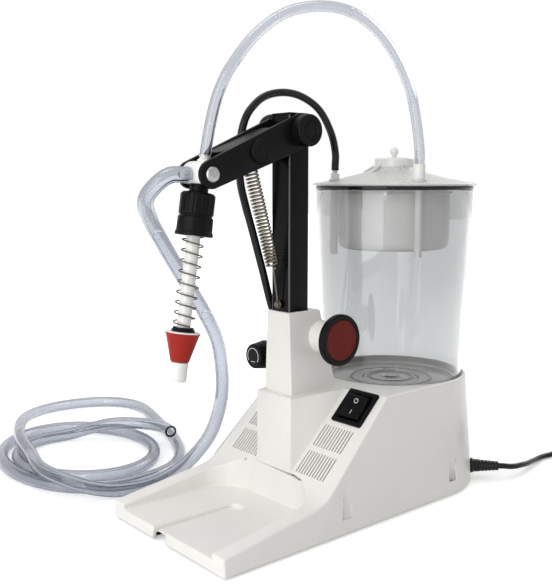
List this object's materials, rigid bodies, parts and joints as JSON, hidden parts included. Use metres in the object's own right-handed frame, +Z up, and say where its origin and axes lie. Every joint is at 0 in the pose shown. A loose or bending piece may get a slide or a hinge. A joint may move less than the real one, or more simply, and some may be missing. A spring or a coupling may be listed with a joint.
{
  "type": "electric wine bottle filler",
  "caption": "Tabletop vacuum wine bottle filler: drip tray base with switch, clamped mast, sprung arm and nozzle, clear jar with lid, hoses and mains cord.",
  "frame": {"origin": "middle of the base on the floor it stands on", "axes": "+Z up, -Y to the front where the bottle stands, +X to the right"},
  "size_m": [0.699, 0.6484, 0.505],
  "materials": {
    "white_plastic": "satin",
    "milky_plastic": "translucent",
    "black_plastic": "satin",
    "black_mast": "satin",
    "red_disc": "satin",
    "red_silicone": "satin",
    "black_rubber": "matte",
    "pale_rubber": "matte",
    "clear_jar": "clear",
    "clear_hose": "translucent",
    "spring_steel": "bright",
    "zinc_steel": "satin",
    "valve_metal": "satin"
  },
  "bodies": {
    "base": {"housing": "white_plastic", "base_plate": "black_plastic", "rubber_feet": "black_rubber", "housing_screws": "zinc_steel", "seat_pad": "pale_rubber", "mast_guide": "black_plastic", "mast_clamp_block": "white_plastic", "clamp_nut": "zinc_steel", "regulator_valve": "valve_metal", "pump_motor": "zinc_steel", "pump_head": "black_plastic", "pump_mounts": "black_rubber", "pump_hose": "black_rubber", "exhaust_muffler": "black_plastic", "terminal_block": "white_plastic", "switch_bezel": "black_plastic", "cord_gland": "black_rubber", "wine_hose": "clear_hose", "wine_hose_coil": "clear_hose", "overflow_tube": "clear_hose", "vacuum_tube": "black_rubber", "power_cord": "black_rubber", "power_cord_coil": "black_rubber", "power_plug": "black_plastic", "cord_tie": "black_plastic"},
    "switch_rocker": {"switch_rocker": "black_plastic"},
    "regulator_knob": {"regulator_knob": "black_plastic"},
    "clamp_washer": {"clamp_washer": "zinc_steel"},
    "clamp_knob": {"clamp_knob": "black_plastic", "clamp_badge": "red_disc", "clamp_stud": "zinc_steel"},
    "mast": {"mast": "black_mast", "mast_cap": "black_plastic", "mast_stop": "black_plastic", "spring_anchor": "zinc_steel", "tension_spring": "spring_steel", "spring_link": "spring_steel"},
    "arm": {"arm": "black_plastic", "arm_pivot_bolt": "zinc_steel", "hub_cap": "black_plastic", "spring_bolt": "black_plastic", "nozzle_pin": "zinc_steel"},
    "nozzle": {"tee_body": "milky_plastic", "nozzle_tube": "milky_plastic", "nozzle_tip": "milky_plastic", "nozzle_spring": "spring_steel"},
    "collar": {"collar_nut": "black_plastic"},
    "cone": {"cone_seal": "red_silicone", "cone_washer": "black_plastic"},
    "jar": {"jar": "clear_jar"},
    "lid": {"lid": "milky_plastic", "lid_gasket": "black_rubber", "filter_cup": "milky_plastic", "vacuum_fitting": "black_plastic", "overflow_fitting": "milky_plastic"},
    "lid_cap": {"lid_cap": "milky_plastic"}
  },
  "joints": [
    {"name": "switch_rock", "type": "hinge", "parent": "base", "child": "switch_rocker", "pos_m": [0.05525, -0.0064, 0.10973], "axis": [-1, 0, 0], "range_deg": [0, 14]},
    {"name": "regulator_turn", "type": "hinge", "parent": "base", "child": "regulator_knob", "pos_m": [-0.0395, -0.042, 0.155], "axis": [0, -1, 0], "range_deg": [0, 270]},
    {"name": "clamp_travel", "type": "slide", "parent": "base", "child": "clamp_washer", "axis": [1, 0, 0], "range_m": [0, 0.00126]},
    {"name": "clamp_turn", "type": "hinge", "parent": "clamp_washer", "child": "clamp_knob", "pos_m": [0, -0.0194, 0.179], "axis": [1, 0, 0], "range_deg": [0, 360]},
    {"name": "mast_slide", "type": "slide", "parent": "base", "child": "mast", "axis": [0, 0, 1], "range_m": [0, 0.09], "deforming": ["wine_hose", "overflow_tube"]},
    {"name": "arm_pivot", "type": "hinge", "parent": "mast", "child": "arm", "pos_m": [0, -0.0455, 0.3845], "axis": [-1, 0, 0], "range_deg": [0, 30], "stiffness_Nm_per_rad": 1.2, "springref_deg": -28.65, "deforming": ["tension_spring", "wine_hose", "overflow_tube"]},
    {"name": "nozzle_pivot", "type": "hinge", "parent": "arm", "child": "nozzle", "pos_m": [0, -0.15443, 0.34181], "axis": [1, 0, 0], "range_deg": [-12, 22], "deforming": ["wine_hose", "overflow_tube"]},
    {"name": "collar_turn", "type": "hinge", "parent": "nozzle", "child": "collar", "pos_m": [0, -0.15443, 0.34181], "axis": [0, 0.1495, 0.9888], "range_deg": [0, 360]},
    {"name": "cone_slide", "type": "slide", "parent": "nozzle", "child": "cone", "axis": [0, 0.1495, 0.9888], "range_m": [0, 0.045], "stiffness_N_per_m": 120, "springref_m": -0.02, "deforming": ["nozzle_spring"]},
    {"name": "jar_lift", "type": "slide", "parent": "base", "child": "jar", "axis": [0, 0, 1], "range_m": [0, 0.06], "deforming": ["vacuum_tube", "overflow_tube"]},
    {"name": "lid_lift", "type": "slide", "parent": "jar", "child": "lid", "axis": [0, 0, 1], "range_m": [0, 0.08], "deforming": ["vacuum_tube", "overflow_tube"]},
    {"name": "lid_cap_turn", "type": "hinge", "parent": "lid", "child": "lid_cap", "pos_m": [0, 0.1075, 0.351], "axis": [0, 0, 1], "range_deg": [0, 360]}
  ],
  "couplings": [
    {"joint": "clamp_travel", "follows": "clamp_turn", "m_per_rad": 0.00019894}
  ]
}
